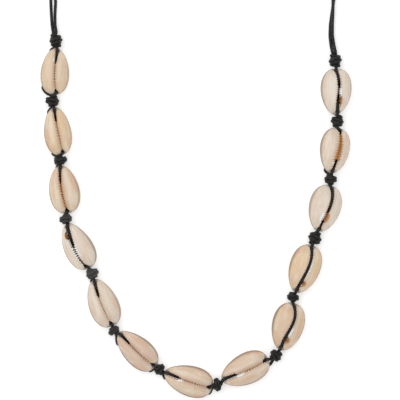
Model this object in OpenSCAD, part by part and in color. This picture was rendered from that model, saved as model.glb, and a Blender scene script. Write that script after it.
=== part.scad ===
// Shell necklace: thirteen cut cowries on two waxed cords, knotted between the shells.
// It lies on a table with the toothed slits up. X runs to the right, Y towards the closing knot, Z up.
// Sizes are millimetres.

/* [Cord] */
// Diameter of one waxed cord
cord_d = 1.2; // [1:0.1:1.2]
// Free space between neighbouring pieces
clearance = 0.14; // [0.1:0.02:0.16]

/* [Shells] */
// Height of the margin, the widest line of a shell, above the ground cut
margin_h = 3.5; // [3.3:0.1:3.8]
// Height of the lip crests above the margin
crest_h = 2.7; // [2.3:0.1:3.1]
// Thickness of the shell wall at the flank
wall = 1.1; // [0.9:0.1:1.3]
// Depth of the lips, from the crest down to the inner edge of the slit
lip_depth = 2.4; // [2:0.1:2.6]
// How far each tooth stands into the slit
tooth = 0.16; // [0.1:0.02:0.2]

/* [Knots] */
// Thickness of one wrap of a knot
wrap_d = 1.8; // [1.5:0.1:1.9]
// Slant of the crossing wraps, in degrees
wrap_slant = 24; // [18:1:28]

/* [Closing knot] */
// Length of the barrel knot that closes the loop
closing_l = 9; // [7:0.5:10]
// Outer diameter of the barrel knot
closing_d = 4.4; // [4:0.1:5]
// Number of turns round the barrel knot
closing_turns = 6; // [4:1:7]

/* [Hidden] */
// Columns of SHELLS. X_AT and Y_AT place the middle, and HEADING is the way from the narrow end to the
// wide end. ROLL lifts the left flank, in degrees, and EGG is how much the left flank draws in towards the
// narrow end. SLIT_IN and SLIT_OUT are how far to the right of the axis the slit lies at the narrow and
// the wide end, SLIT_BOW how much farther at the middle, and SLIT_SKEW moves that bow towards the wide
// end. SLIT_W is the slit's width away from the front cord. DIVE is where that cord leaves the slit for
// the hollow and RISE where it comes up again, from -1 at the narrow end to 1 at the wide end. GATE_IN and
// GATE_OUT say where the back cord passes below the wall, in stations to the right of the two tips.
X_AT = 0;
Y_AT = 1;
HEADING = 2;
LENGTH = 3;
WIDTH = 4;
ROLL = 5;
EGG = 6;
SLIT_IN = 7;
SLIT_OUT = 8;
SLIT_BOW = 9;
SLIT_SKEW = 10;
SLIT_W = 11;
DIVE = 12;
RISE = 13;
GATE_IN = 14;
GATE_OUT = 15;
SHELLS = [
    [-58.0, 51.5, -93, 18.7, 11.4, -5, 0.16, -0.7, -1.2, 0.9, 0.2, 0.7, -0.72, 0.73, 3, 5],
    [-57.0, 27.6, -83, 19.4, 11.0, -6, 0.18, 0.2, -1.1, 0.1, -0.2, 0.7, -0.76, 0.74, 4, 3],
    [-54.4, 4.3, -81, 19.5, 12.3, 0, 0.18, -0.1, -0.1, 1.0, -0.1, 0.7, -0.66, 0.74, 2, 0],
    [-48.9, -18.4, -64, 20.0, 11.9, 3, 0.26, 0.1, 0, 1.6, 0.7, 0.8, -0.4, 0.74, 0, 0],
    [-38.8, -41.2, -70, 20.2, 12.1, -2, 0.22, 0.1, -0.5, 0.8, 0, 0.7, -0.66, 0.74, 2, 0],
    [-25.3, -60.1, -45, 20.0, 11.6, -2, 0.24, 0.1, -0.8, 0.5, 0.4, 0.7, -0.78, 0.74, 5, 2],
    [-4.7, -72.1, -19, 20.1, 12.4, -3, 0.26, -0.1, -0.3, 0.5, 0.1, 0.7, -0.72, 0.74, 3, 2],
    [18.0, -67.8, 25, 20.3, 12.6, -2, 0.18, -0.1, -0.2, 0.7, 0.5, 0.7, -0.76, 0.74, 0, 2],
    [35.0, -50.7, 75, 19.6, 13.0, 7, 0.16, -0.3, -0.4, 1.7, 2.4, 1.5, 0.8, 0.66, 0, 0],
    [41.7, -27.6, 71, 20.0, 12.6, 4, 0.16, -0.2, -0.5, 1.6, 1.2, 1.5, 0.8, 0.66, 0, 0],
    [49.8, -3.4, 75, 19.1, 13.0, 7, 0.16, 0, 0.1, 1.7, 1.5, 1.5, 0.8, 0.66, 0, 0],
    [53.8, 19.8, 81, 18.4, 12.0, 4, 0.16, 0.2, 0.4, 1.6, 0.6, 1.3, -0.82, 0.74, -3, 0],
    [54.4, 43.4, 88, 18.5, 12.4, -4, 0.16, 1.0, -0.8, 1.0, 1.2, 0.8, -0.5, 0.14, 0, 0]
];

// Columns of KNOTS. KNOT_L is the length along the string and KNOT_W the width across it. ASIDE moves
// the knot to the right of the string, and TURN rolls it on the string, in degrees.
KNOT_L = 0;
KNOT_W = 1;
ASIDE = 2;
TURN = 3;
KNOTS = [
    [5.6, 5.2, 0, 20],
    [4.5, 5.2, 0.8, 0],
    [3.6, 5.4, 0, 35],
    [3.6, 5.2, 0.7, -20],
    [4.2, 5.0, -0.3, 10],
    [3.1, 4.8, 0.8, -35],
    [3.7, 4.8, -0.2, 15],
    [3.0, 5.2, 0.2, 0],
    [4.4, 5.0, 0.6, 30],
    [3.5, 4.9, -0.8, -15],
    [5.4, 5.2, -0.2, 20],
    [4.2, 5.0, 0, -30],
    [4.7, 5.2, 0.3, 10],
    [5.6, 5.0, 0, -20]
];
// The knots above the first and the last shell.
FIRST_KNOT = [-57.7, 63.9];
FIRST_HEADING = -82;
LAST_KNOT = [54.2, 55.8];
LAST_HEADING = 98;

// Columns of the two necks, which run from the string up to the closing knot. PAIR_X and PAIR_Y are the
// middle of the pair, SPREAD the distance between its two cords, LIFT the height of both above the
// table and HUMP the height of the front cord above the other.
PAIR_X = 0;
PAIR_Y = 1;
SPREAD = 2;
LIFT = 3;
HUMP = 4;
LEFT_NECK = [
    [-58.7, 70, 1.35, 0.7, 0.3],
    [-58.9, 74, 1.35, 0.1, 0.1],
    [-58.9, 79, 1.8, 0, 0],
    [-59, 84, 1.8, 0, 0],
    [-58.4, 89.5, 1.5, 0, 0],
    [-56.5, 95, 1.5, 0, 0],
    [-53, 100, 1.5, 0, 0],
    [-48, 104.5, 1.5, 0, 0],
    [-42, 108, 1.5, 0, 0],
    [-35, 110.7, 1.5, 0, 0],
    [-27.5, 112.6, 1.5, 0, 0],
    [-20, 113.7, 1.5, 0, 0],
    [-13, 114.2, 1.5, 0.2, 0],
    [-9, 114.2, 1.6, 0.6, 0]
];
RIGHT_NECK = [
    [53.1, 62, 1.5, 0.7, 0.3],
    [52.6, 66, 1.4, 0.1, 0.4],
    [52.7, 70.5, 1.1, 0, 0.9],
    [53.1, 75, 0.5, 0, 1.35],
    [53.5, 80, -0.5, 0, 1.35],
    [53.6, 85, -1.3, 0, 0.5],
    [52.9, 90, -1.5, 0, 0],
    [51, 95.2, -1.5, 0, 0],
    [47.6, 100, -1.5, 0, 0],
    [42.7, 104.2, -1.5, 0, 0],
    [36.5, 107.8, -1.5, 0, 0],
    [29.5, 110.6, -1.5, 0, 0],
    [22, 112.6, -1.5, 0, 0],
    [14.5, 113.8, -1.5, 0, 0],
    [8, 114.2, -1.5, 0.2, 0],
    [4.4, 114.2, -1.6, 0.6, 0]
];
CLOSING_KNOT = [-2.3, 114.2];

// Puts the middle of the loop on the origin.
LOOP_SHIFT = [1.7, -18.6];

cord_r = cord_d / 2;
lane = cord_r + clearance;
stations = 38;
cord_sides = 8;
strand_sides = 6;
strand_rings = 12;
// Share of the half length between the first and last rings that lie in a shell.
strand_reach = 0.96;
// Share of the half length that the slit, its inner edge and the ground rim reach.
slit_reach = 0.93;
throat_reach = 0.84;
rim_reach = 0.95;
// Depth of the back below the margin before it was ground flat.
back_depth = 6.6;
// How much the right flank draws in towards the narrow end, and how much fuller the wide end is.
right_egg = 0.15;
fullness = 0.07;
tip_drop = 0.2;
canal_depth = 1.1;
canal_wide = 2.9;
// Width of the slit at its inner edge, below the lips, and how much shallower the lips are at the tips.
throat_w = 0.4;
lip_taper = 0.6;
gate_h = lane + cord_r + 0.2;
gate_wide = 2.6;
crest_at = 0.26;
edge_share = 0.72;
// Heights of the front cord in the slit, in the hollow and at the tips, and of both at a knot.
slit_z = margin_h + 1.35;
hollow_z = 1.95;
canal_z = margin_h - tip_drop - canal_depth + lane + 0.45;
front_port_z = canal_z;
back_port_z = 1.3;
pair_port_z = 2.1;
// How far to the side of the string the back cord leaves a knot, where it goes round a tip.
port_side = 0.8;
table_z = cord_r;
sink_length = 0.26;
rise_length = 0.26;
// Parts of a knot: its core, the collars at the core's ends, and how much thinner the wrap is that lies
// underneath. end_slack keeps the slanted wraps off the end faces, in degrees.
core_d = 3.7;
core_sink = 0.15;
collar_d = 1.3;
collar_proud = 0.25;
under_wrap = 0.4;
end_slack = 2;
shell_color = "#e3ccb2";
cord_color = "#2b2b2d";

function lerp(a, b, k) = a + (b - a) * k;
function share(k) = min(1, max(0, k));
function unit(v) = v / norm(v);
function flat(v) = [v[0], v[1]];
function forward(angle) = [cos(angle), sin(angle)];
function rightward(angle) = [sin(angle), -cos(angle)];
function raised(p, z) = [p[0], p[1], z];

// Plan of a shell in its own frame, with x to the right of its heading and y along it. The angle runs
// round the shell from the narrow tip over the right flank, and s runs from -1 to 1 along it.
function margin_point(shell, angle) =
    let (
        side = sign(sin(angle)),
        egg = side < 0 ? shell[EGG] : right_egg,
        round = pow(abs(sin(angle)), 0.95 + fullness * cos(angle))
    )
    [side * shell[WIDTH] / 2 * round * (1 - egg * cos(angle)) / (1 + egg * egg / 2),
        -shell[LENGTH] / 2 * cos(angle)];
function slit_line(shell, s) =
    lerp(shell[SLIT_IN], shell[SLIT_OUT], (s + 1) / 2)
    + (1 - s * s) * (shell[SLIT_BOW] + shell[SLIT_SKEW] * s);
// Half the slit's width: open round the front cord, and narrow elsewhere.
function slit_half(shell, s, narrow) =
    let (
        open = lane + tooth,
        close = share((s - shell[DIVE] - sink_length) / 0.14),
        reopen = share((s - shell[RISE] - 0.05) / 0.08)
    )
    max(lerp(open, narrow, close), lerp(narrow, open, reopen));

// Stations from station i to the nearer tip, and from station i to a gate of the back cord.
function steps(i, k) = let (d = abs(i - k) % stations) min(d, stations - d);
function station_off(end, k) = end < 0 ? (k + stations) % stations : stations / 2 - k;
function gate(shell, end) = end < 0 ? shell[GATE_IN] : shell[GATE_OUT];
function gate_steps(shell, i) =
    min([for (end = [-1, 1]) steps(i, station_off(end, gate(shell, end)))]);
// Height of the ground rim: zero, but for a low arch over each gate of the back cord.
function rim_height(shell, i) = gate_h * share((gate_wide - gate_steps(shell, i)) / 1.2);

// Heights on the upper side of a shell.
function lean(shell, p) = -p[0] * sin(shell[ROLL]);
function base_z(s) = margin_h - tip_drop * s * s;
function swell(s) = crest_h * pow(1 - pow(abs(s), 3), 0.8);
// The canals are notches in the two tips, at the ends of the slit.
function canal(shell, i) =
    let (angle = 360 * i / stations, across = margin_point(shell, angle)[0])
    canal_depth * max(0, 1 - abs(across - slit_line(shell, -sign(cos(angle)) * slit_reach)) / canal_wide);
// How far in the flank lies, as a share of the margin, at a given height below the margin.
function tuck(s, drop) = sqrt(1 - pow(drop / back_depth, 2)) * lerp(1, rim_reach, pow(abs(s), 6));

// One section through the wall. It runs from the inner edge of the slit over the lip and the flank to
// the ground rim, and back up the inside of the wall.
function wall_section(shell, i) =
    let (
        angle = 360 * i / stations,
        s = -cos(angle),
        half = shell[LENGTH] / 2,
        end = pow(abs(s), 12),
        margin = margin_point(shell, angle),
        bite = i % 2 == 0 ? tooth : -tooth,
        side = sign(sin(angle)),
        room = 0.75 * abs(margin[0]),
        slit_x = slit_line(shell, s * slit_reach),
        edge_x = slit_x + side * min(slit_half(shell, s, shell[SLIT_W] / 2) - bite, room),
        throat_x = slit_x + side * min(slit_half(shell, s, throat_w / 2), room),
        edge = [edge_x, half * slit_reach * s],
        throat = [throat_x, half * throat_reach * s],
        notch = canal(shell, i),
        margin_z = base_z(s) + lean(shell, margin) - notch,
        lip = function (k, height)
            let (p = lerp(edge, margin, k))
            raised(p, base_z(s) + swell(s) * height + lean(shell, p) - notch),
        crest_z = base_z(s) + swell(s) + lean(shell, edge),
        lip_z = crest_z - lip_depth * (1 - lip_taper * pow(s, 4)),
        throat_z = lerp(lip_z, base_z(1) - canal_depth - 0.45, end),
        rim_z = rim_height(shell, i),
        flank_z = lerp(rim_z, margin_z, 0.45),
        flank = margin * tuck(s, margin_z - flank_z),
        rim = margin * tuck(s, margin_z - rim_z),
        inward = -unit(margin) * wall,
        inner = raised(flank + inward, lerp(rim_z, margin_z, 0.5)),
        ceiling_z = lerp(throat_z + 0.3, (throat_z + inner[2]) / 2, end)
    )
    [
        raised(throat, throat_z),
        lip(0, edge_share),
        lip(crest_at, 1),
        lip(0.62, 0.84),
        lip(0.88, 0.45),
        raised(margin, margin_z),
        raised(flank, flank_z),
        raised(rim, rim_z),
        raised(rim + inward, rim_z),
        inner,
        raised(lerp(throat, flat(inner), 0.5), ceiling_z)
    ];

// Places of the pieces on the table.
function shell_middle(shell) = [shell[X_AT], shell[Y_AT]] + LOOP_SHIFT;
function on_table(shell, p) =
    raised(shell_middle(shell) + rightward(shell[HEADING]) * p[0] + forward(shell[HEADING]) * p[1], p[2]);
function tip(shell, end) = flat(on_table(shell, [0, end * shell[LENGTH] / 2, 0]));
function knot_heading(k) =
    k == 0 ? FIRST_HEADING
    : k == len(SHELLS) ? LAST_HEADING
    : (SHELLS[k - 1][HEADING] + SHELLS[k][HEADING]) / 2;
function knot_middle(k) =
    k == 0 ? FIRST_KNOT + LOOP_SHIFT
    : k == len(SHELLS) ? LAST_KNOT + LOOP_SHIFT
    : lerp(tip(SHELLS[k - 1], 1), tip(SHELLS[k], -1), 0.5) + rightward(knot_heading(k)) * KNOTS[k][ASIDE];
// A point just off an end face of a knot, x to the right of the string. way is 1 on the side that the
// string leads on to.
function port(k, way, x, z) =
    raised(knot_middle(k) + forward(knot_heading(k)) * way * (KNOTS[k][KNOT_L] / 2 + clearance)
        + rightward(knot_heading(k)) * (x - KNOTS[k][ASIDE] * 0.6), z);

// Routes of the two strands through shell i, from knot to knot.
function front_z(shell, s) =
    let (
        ride = lerp(canal_z, slit_z, pow(share((1 - abs(s)) / 0.38), 0.9)),
        sink = lerp(slit_z, hollow_z, share((s - shell[DIVE]) / sink_length)),
        rise = lerp(hollow_z, slit_z, share((s - shell[RISE]) / rise_length))
    )
    min(ride, max(sink, rise));
function front_strand(i) =
    let (shell = SHELLS[i], half = shell[LENGTH] / 2)
    [
        port(i, 1, 0, front_port_z),
        for (k = [0 : strand_rings])
            let (s = strand_reach * (-1 + 2 * k / strand_rings))
            on_table(shell, [slit_line(shell, s), half * s, front_z(shell, s)]),
        port(i + 1, -1, 0, front_port_z)
    ];
// From the knot round the tip, under the wall and into the hollow.
function gate_route(shell, end) =
    let (
        g = gate(shell, end),
        i = station_off(end, g),
        angle = 360 * i / stations,
        margin = margin_point(shell, angle),
        margin_z = base_z(-cos(angle)) + lean(shell, margin) - canal(shell, i),
        rim = margin * tuck(-cos(angle), margin_z - gate_h),
        out = unit(margin)
    )
    [
        for (k = [2 : 1 : abs(g) - 1])
            let (skirt = margin_point(shell, 360 * station_off(end, sign(g) * k) / stations))
            raised(skirt + unit(skirt) * 0.35, table_z + 0.15),
        raised(margin + out * (g == 0 ? -0.3 : 0.35), table_z + 0.15),
        raised(rim - out * wall / 2, table_z),
        raised(rim - out * (wall + 1.2), table_z)
    ];
function back_strand(i) =
    let (shell = SHELLS[i], way_in = gate_route(shell, -1), way_out = gate_route(shell, 1))
    [
        port(i, 1, port_side * sign(gate(shell, -1)), back_port_z),
        for (p = way_in) on_table(shell, p),
        for (k = [len(way_out) - 1 : -1 : 0]) on_table(shell, way_out[k]),
        port(i + 1, -1, port_side * sign(gate(shell, 1)), back_port_z)
    ];

// Routes of the four neck cords. side is 1 for the front cord and -1 for the back one.
function neck_route(neck, k, way, side) =
    let (n = len(neck))
    [
        port(k, way, way * side * 0.75, pair_port_z),
        for (j = [0 : n - 1])
            let (
                before = neck[max(0, j - 1)],
                after = neck[min(n - 1, j + 1)],
                along = unit([after[PAIR_X] - before[PAIR_X], after[PAIR_Y] - before[PAIR_Y]]),
                across = [along[1], -along[0]] * side * neck[j][SPREAD] / 2,
                hump = side > 0 ? neck[j][HUMP] : 0
            )
            raised([neck[j][PAIR_X], neck[j][PAIR_Y]] + LOOP_SHIFT + across, table_z + neck[j][LIFT] + hump),
        let (
            end = sign(neck[n - 1][PAIR_X] - CLOSING_KNOT[0]),
            across = side * neck[n - 1][SPREAD] / 2 * end
        )
        raised(CLOSING_KNOT + LOOP_SHIFT + [end * (closing_l / 2 + clearance), across], closing_d / 2 - 0.9)
    ];

// A closed band of sections, such as the wall round a slit.
module ring_of_sections(sections) {
    n = len(sections);
    m = len(sections[0]);
    polyhedron(
        points = [for (section = sections) each section],
        faces = [for (i = [0 : n - 1], j = [0 : m - 1])
            let (a = i * m + j, b = i * m + (j + 1) % m, next = (i + 1) % n * m - i * m)
            each [[a, a + next, b], [b, a + next, b + next]]],
        convexity = 8
    );
}

// A round tube along a route. Its flat ends are square to the two headings.
module tube(route, sides, start, end) {
    n = len(route);
    rings = [for (i = [0 : n - 1])
        let (
            along = i == 0 ? raised(forward(start), 0)
                : i == n - 1 ? raised(forward(end), 0)
                : unit(unit(route[i + 1] - route[i]) + unit(route[i] - route[i - 1])),
            across = unit(cross([0, 0, 1], along)),
            up = cross(along, across)
        )
        for (j = [0 : sides - 1])
            let (angle = 360 * j / sides)
            route[i] + cord_r * (across * cos(angle) + up * sin(angle))];
    polyhedron(
        points = rings,
        faces = concat(
            [[for (j = [0 : sides - 1]) j]],
            [for (i = [0 : n - 2], j = [0 : sides - 1])
                let (a = i * sides + j, b = i * sides + (j + 1) % sides)
                each [[a, a + sides, b], [b, a + sides, b + sides]]],
            [[for (j = [sides - 1 : -1 : 0]) (n - 1) * sides + j]]
        ),
        convexity = 10
    );
}

// The strands of one cord through all the shells. side is 1 for the front cord.
module strands(side) {
    for (i = [0 : len(SHELLS) - 1])
        tube(side > 0 ? front_strand(i) : back_strand(i), strand_sides, knot_heading(i), knot_heading(i + 1));
}

// The pair of cords up one side of the neck.
module neck_pair(neck, k, way) {
    start = knot_heading(k) + (way < 0 ? 180 : 0);
    end = way < 0 ? 0 : 180;
    for (side = [-1, 1])
        tube(neck_route(neck, k, way, side), cord_sides, start, end);
}

// A torus round the X axis.
module wrap(outer_d, thickness) {
    rotate([0, 90, 0])
    rotate_extrude($fn = 64)
    translate([(outer_d - thickness) / 2, 0])
    circle(d = thickness, $fn = 32);
}

module shell(i) {
    color(shell_color)
    translate(raised(shell_middle(SHELLS[i]), 0))
    rotate([0, 0, SHELLS[i][HEADING] - 90])
    ring_of_sections([for (k = [0 : stations - 1]) wall_section(SHELLS[i], k)]);
}

// Two slanted wraps, one lying over the other, that cross on a waisted core. A short knot has less slant,
// so that its wraps stay between its end faces.
module knot(k) {
    length = KNOTS[k][KNOT_L];
    width = KNOTS[k][KNOT_W];
    slant = min(wrap_slant, asin((length - wrap_d) / (width - wrap_d)) - end_slack);
    color(cord_color)
    translate(raised(knot_middle(k), width / 2))
    rotate([0, 0, knot_heading(k)])
    rotate([KNOTS[k][TURN], 0, 0]) {
        knot_core(length);
        rotate([0, 0, slant]) wrap(width, wrap_d);
        rotate([0, 0, -slant]) wrap(width - under_wrap, wrap_d - under_wrap / 2);
    }
}

// The straight middle of a knot, with a round collar at each end.
module knot_core(length) {
    rotate([0, 90, 0])
    rotate_extrude($fn = 64) {
        translate([0, -length / 2 + core_sink]) square([core_d / 2, length - 2 * core_sink]);
        for (way = [-1, 1])
            translate([(core_d - collar_d) / 2 + collar_proud, way * (length - collar_d) / 2])
            circle(d = collar_d, $fn = 32);
    }
}

module slit_cord() {
    color(cord_color) strands(1);
}

module back_cord() {
    color(cord_color) strands(-1);
}

module left_neck() {
    color(cord_color) neck_pair(LEFT_NECK, 0, -1);
}

module right_neck() {
    color(cord_color) neck_pair(RIGHT_NECK, len(SHELLS), 1);
}

// A straight core with a row of turns round it.
module closing_knot() {
    turn_d = closing_l / closing_turns;
    color(cord_color)
    translate(raised(CLOSING_KNOT + LOOP_SHIFT, closing_d / 2)) {
        rotate([0, 90, 0]) cylinder(d = closing_d - 0.8, h = closing_l, center = true, $fn = 48);
        for (turn = [0 : closing_turns - 1])
            translate([(turn + 0.5) * turn_d - closing_l / 2, 0, 0]) wrap(closing_d, turn_d);
    }
}

shell(0);  // shell_01
shell(1);  // shell_02
shell(2);  // shell_03
shell(3);  // shell_04
shell(4);  // shell_05
shell(5);  // shell_06
shell(6);  // shell_07
shell(7);  // shell_08
shell(8);  // shell_09
shell(9);  // shell_10
shell(10);  // shell_11
shell(11);  // shell_12
shell(12);  // shell_13
knot(0);  // knot_01
knot(1);  // knot_02
knot(2);  // knot_03
knot(3);  // knot_04
knot(4);  // knot_05
knot(5);  // knot_06
knot(6);  // knot_07
knot(7);  // knot_08
knot(8);  // knot_09
knot(9);  // knot_10
knot(10);  // knot_11
knot(11);  // knot_12
knot(12);  // knot_13
knot(13);  // knot_14
slit_cord();
back_cord();
left_neck();
right_neck();
closing_knot();
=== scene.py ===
"""A shell necklace lying on a table: thirteen cut cowries on two waxed cords, knotted between the shells.

The tables and the shaping below are in millimetres, and MM turns them into metres when a mesh is made.
Every shell is shaped in its own frame: y runs from its narrow end to its wide end, x to the right, z up.
"""
from collections import namedtuple
from math import cos, pi, radians, sin

import bpy
import numpy as np
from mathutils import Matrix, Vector
from bpy.props import FloatProperty, FloatVectorProperty, IntProperty, PointerProperty


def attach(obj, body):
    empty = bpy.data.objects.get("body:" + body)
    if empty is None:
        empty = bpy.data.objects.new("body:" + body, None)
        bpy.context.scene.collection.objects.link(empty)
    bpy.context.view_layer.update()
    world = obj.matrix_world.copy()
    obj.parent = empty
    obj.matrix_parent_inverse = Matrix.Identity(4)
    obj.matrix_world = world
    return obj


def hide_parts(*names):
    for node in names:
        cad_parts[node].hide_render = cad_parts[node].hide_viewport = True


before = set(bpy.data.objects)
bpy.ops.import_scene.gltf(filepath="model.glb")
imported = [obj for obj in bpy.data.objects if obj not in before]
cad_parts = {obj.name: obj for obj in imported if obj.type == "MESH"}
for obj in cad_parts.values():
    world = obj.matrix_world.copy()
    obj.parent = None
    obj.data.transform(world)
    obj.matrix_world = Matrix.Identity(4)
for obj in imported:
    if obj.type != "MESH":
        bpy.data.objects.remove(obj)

bl_info = {
    "name": "Shell Necklace",
    "version": (1, 0, 0),
    "blender": (4, 5, 0),
    "location": "3D View > Sidebar > Necklace",
    "description": "Cut cowries on two waxed cords with overhand knots between them",
    "category": "Add Mesh",
}

MM = 0.001

# The form of a shell: its middle, its heading from the narrow to the wide end in degrees, its length, width
# and roll, and how much the left flank draws in. slit_in, slit_out and slit_bow are how far to the right of
# the axis the slit lies at the narrow and the wide end and how much farther at the middle, slit_skew moves
# that bow towards the wide end, and slit is its width where the lips close over the sunk front cord. dive
# and rise are where that cord leaves the slit and comes up again, from -1 at the narrow end to 1 at the
# wide end, and gate_in and gate_out where the back cord passes below the wall.
Shell = namedtuple("Shell", "x y heading length width roll egg slit_in slit_out slit_bow slit_skew slit "
                            "dive rise gate_in gate_out")
SHELLS = [Shell(*row) for row in (
    (-58.0, 51.5, -93, 18.7, 11.4, -5, 0.16, -0.7, -1.2, 0.9, 0.2, 0.2, -0.72, 0.73, 3, 5),
    (-57.0, 27.6, -83, 19.4, 11.0, -6, 0.18, 0.2, -1.1, 0.1, -0.2, 0.2, -0.76, 0.74, 4, 3),
    (-54.4, 4.3, -81, 19.5, 12.3, 0, 0.18, -0.1, -0.1, 1, -0.1, 0.4, -0.66, 0.74, 2, 0),
    (-48.9, -18.4, -64, 20.0, 11.9, 3, 0.26, 0.1, 0, 1.6, 0.7, 0.9, -0.4, 0.74, 0, 0),
    (-38.8, -41.2, -70, 20.2, 12.1, -2, 0.22, 0.1, -0.5, 0.8, 0, 0.2, -0.66, 0.74, 2, 0),
    (-25.3, -60.1, -45, 20.0, 11.6, -2, 0.24, 0.1, -0.8, 0.5, 0.4, 0.2, -0.78, 0.74, 5, 2),
    (-4.7, -72.1, -19, 20.1, 12.4, -3, 0.26, -0.1, -0.3, 0.5, 0.1, 0.2, -0.72, 0.74, 3, 2),
    (18.0, -67.8, 25, 20.3, 12.6, -2, 0.18, -0.1, -0.2, 0.7, 0.5, 0.2, -0.76, 0.74, 0, 2),
    (35.0, -50.7, 75, 19.6, 13.0, 7, 0.16, -0.3, -0.4, 1.7, 2.4, 0.4, 0.8, 0.66, 0, 0),
    (41.7, -27.6, 71, 20.0, 12.6, 4, 0.16, -0.2, -0.5, 1.6, 1.2, 0.4, 0.8, 0.66, 0, 0),
    (49.8, -3.4, 75, 19.1, 13.0, 7, 0.16, 0, 0.1, 1.7, 1.5, 1.3, -0.92, -0.24, 0, 0),
    (53.8, 19.8, 81, 18.4, 12.0, 4, 0.16, 0.2, 0.4, 1.6, 0.6, 1.6, -0.82, 0.74, -3, 0),
    (54.4, 43.4, 88, 18.5, 12.4, -4, 0.16, 1, -0.8, 1, 1.2, 0.8, -0.5, 0.14, 0, 0),
)]

# The looks of a shell. open_in, open_mid and open_out are how wide the slit is over the front cord at the
# narrow end, the middle and the wide end. edge is how high the lips' edges stand, as a share of their
# crests, and deep how deep the closed slit is, as a share of LIP_DEPTH. Then how pink, golden or pale the
# glaze is (below 0 is less pale than the others), how dark its margin is (partly the shell's own grey
# brown, partly painted shade where the flank turns down), the amber in the slit, how deep the painted shade
# in the slit and between its teeth is, the brown painted shade along the slit, how far the teeth reach, the
# wear, and two marks with their places along the shell: an amber notch in the right lip, with its depth and
# length, and a white glint, a painted highlight that also stands for the bright table seen through the slit,
# with its length on the right lip, or below 0 on the left. Past DOTTED_FROM the glint is a row of dots on
# the teeth, painted highlights which a deep painted shade brings out on both lips.
Look = namedtuple("Look", "open_in open_mid open_out edge deep pink gold pale margin amber shade brink teeth "
                          "wear notch_at notch notch_long glint_at glint")
LOOKS = [Look(*row) for row in (
    (1.3, 0.6, 0.4, 0.86, 0.6, 0.2, 0.6, 0, 0.7, 0.3, 0.1, 0.8, 0, 0.4, -0.52, 0.2, 0.07, -0.52, 0.1),
    (1.2, 0.5, 0.4, 0.86, 0.6, 0.1, 0.9, -0.2, 0.7, 0.3, 0.1, 0.8, 0, 0.5, 0, 0, 0, 0, 0),
    (1.2, 0.5, 0.5, 0.86, 0.6, 0.1, 0.7, 0, 0.7, 0.9, 0, 1, 0.1, 0.3, 0, 0, 0, 0, 0),
    (1.4, 1.4, 0.5, 1, 1, 0.1, 0, 1, 0.8, 0.5, 0.9, 0.2, 0.2, 0.3, -0.59, 1, 0.16, 0.2, 0.35),
    (1.4, 0.8, 0.6, 0.90, 0.6, 0.1, 0, 0.6, 0.7, 0.3, 0.1, 0.6, 0, 0.5, 0, 0, 0, 0, 0),
    (1.4, 0.6, 0.6, 0.86, 0.6, 1, 0, 0, 1, 0.3, 0.1, 0.8, 0, 0.6, 0, 0, 0, 0, 0),
    (1.5, 1, 0.6, 0.90, 0.6, 0.7, 0.3, 0, 1, 0.3, 0.1, 0.8, 0.1, 0.5, -0.38, 0.25, 0.1, -0.36, 0.14),
    (1.5, 1.2, 1.2, 0.90, 0.6, 0.8, 0.2, 0, 0.9, 0.4, 0.1, 0.8, 0.1, 0.5, -0.32, 0.3, 0.15, -0.28, 0.19),
    (1.6, 1.35, 1.45, 1.05, 1, 0.7, 0.4, -0.4, 0.9, 0.8, 0.1, 0.4, 0.2, 0.4, -0.58, 1.1, 0.14, -0.2, 0.22),
    (1.6, 1.3, 1.4, 1.05, 1, 0.3, 0.8, -0.4, 0.8, 0.8, 0.1, 0.3, 0.2, 0.4, -0.62, 1.1, 0.12, 0.1, 0.45),
    (0.9, 1.2, 1.7, 1.05, 1, 0.4, 0, 0.9, 0.7, 1, 0, 0.3, 0.1, 0.3, -0.42, 0.3, 0.19, -0.42, -0.24),
    (1, 0.9, 0.5, 1, 0.3, 0.4, 0, 0.6, 0.8, 1, 0, 0.4, 0.6, 0.3, 0, 0, 0, -0.6, -0.05),
    (1.4, 1.1, 1.1, 1, 1, 0.1, 0, 1, 0.8, 0.6, 1, 0.2, 0.3, 0.2, -0.45, 0.55, 0.23, -0.01, 0.17),
)]

# A knot: its length along the string and width across it, how far it lies to the right of the string, and
# its roll in degrees. hand is 1 or -1 for an overhand knot or its mirror image, and wax is how grey the knot
# is painted, partly for the wax left on it and partly as painted sheen.
Knot = namedtuple("Knot", "length width aside turn hand wax")
KNOTS = [Knot(*row) for row in (
    (5.6, 5.2, 0, 20, 1, 0),
    (4.5, 5.2, 0.8, 0, -1, 0),
    (3.6, 5.2, 0, 35, 1, 0),
    (3.6, 5.2, 0.7, -20, -1, 0.5),
    (4.2, 5.0, -0.3, 10, 1, 0.8),
    (3.1, 4.8, 0.8, -35, 1, 0.35),
    (3.7, 4.8, -0.2, 15, -1, 0),
    (3.0, 5.2, 0.2, 0, 1, 0),
    (4.4, 5.0, 0.6, 30, -1, 0),
    (3.5, 4.9, -0.8, -15, 1, 0),
    (5.4, 5.2, -0.2, 20, -1, 0),
    (4.2, 5.0, 0, -30, 1, 0),
    (4.7, 5.2, 0.3, 10, -1, 0),
    (5.6, 5.0, 0, -20, 1, 0),
)]
# The middles and headings of the knots above the first and the last shell, and the closing knot's middle.
END_KNOTS = {0: ((-57.7, 63.9), -82), len(SHELLS): ((54.2, 55.8), 98)}
CLOSING_KNOT = (-2.3, 114.2)

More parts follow.
